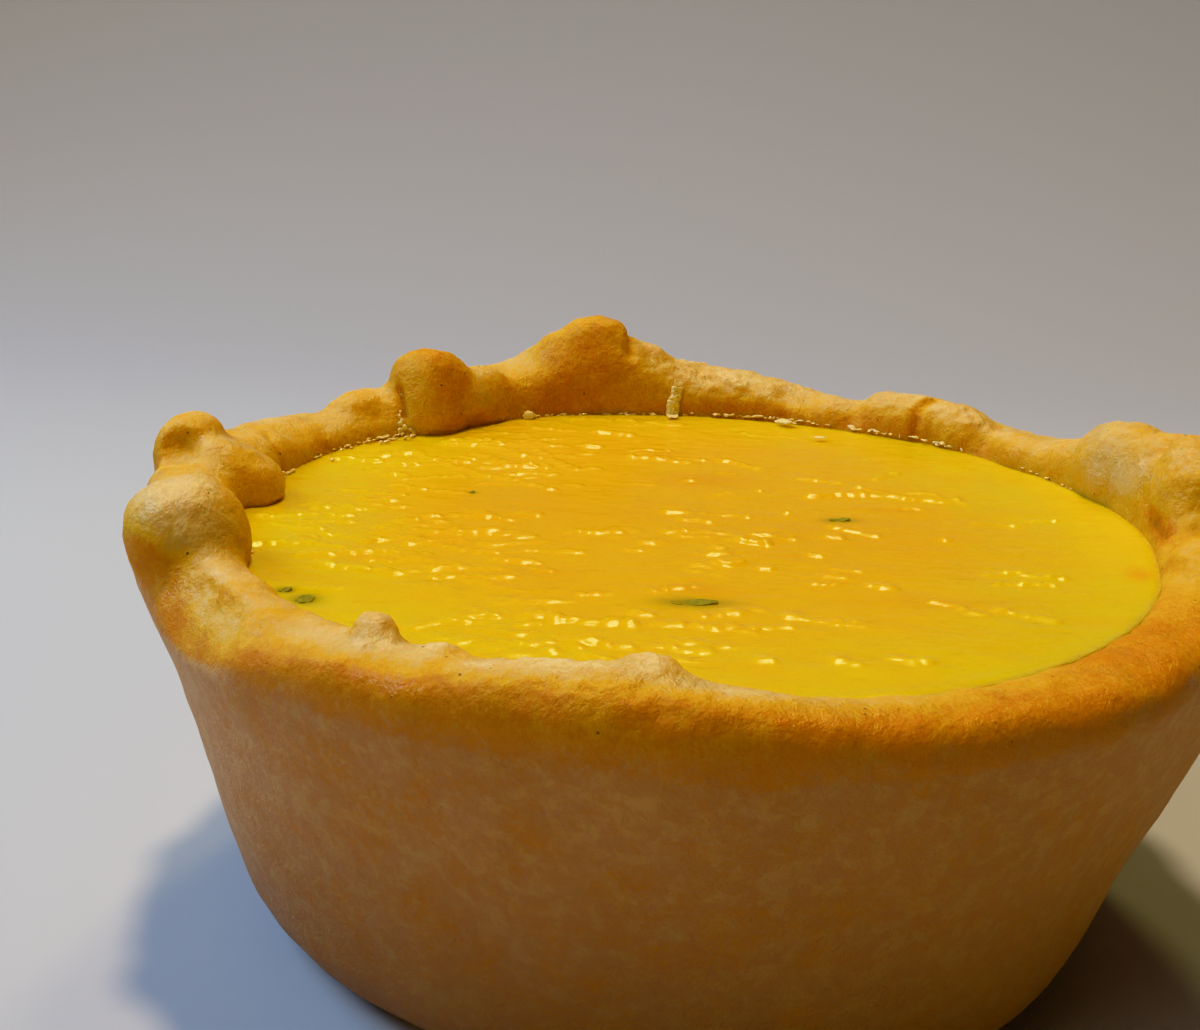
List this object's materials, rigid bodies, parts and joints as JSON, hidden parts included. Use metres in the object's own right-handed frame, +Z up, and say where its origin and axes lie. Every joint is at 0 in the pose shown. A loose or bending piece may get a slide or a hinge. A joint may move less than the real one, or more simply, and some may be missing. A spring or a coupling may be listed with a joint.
{
  "type": "small quiche",
  "caption": "Small round deep quiche: a hand-pinched shortcrust shell with sloping walls and an uneven folded rim, filled nearly level with glossy yellow egg custard.",
  "frame": {"origin": "centre of the flat foot, on the axis of the tin that shaped the shell", "axes": "+Z up along the tin's axis, +Y towards the high pinched peak of the rim, +X to the right when the peak is at the back"},
  "size_m": [0.0758, 0.0747, 0.0344],
  "materials": {
    "crust": "baked shortcrust, satin where the fat browned it and matt elsewhere",
    "custard": "set egg custard with a wet, finely wrinkled skin",
    "herbs": "chopped leaves baked into the custard"
  },
  "bodies": {
    "root": {"crust": "crust", "custard": "custard"}
  },
  "joints": []
}
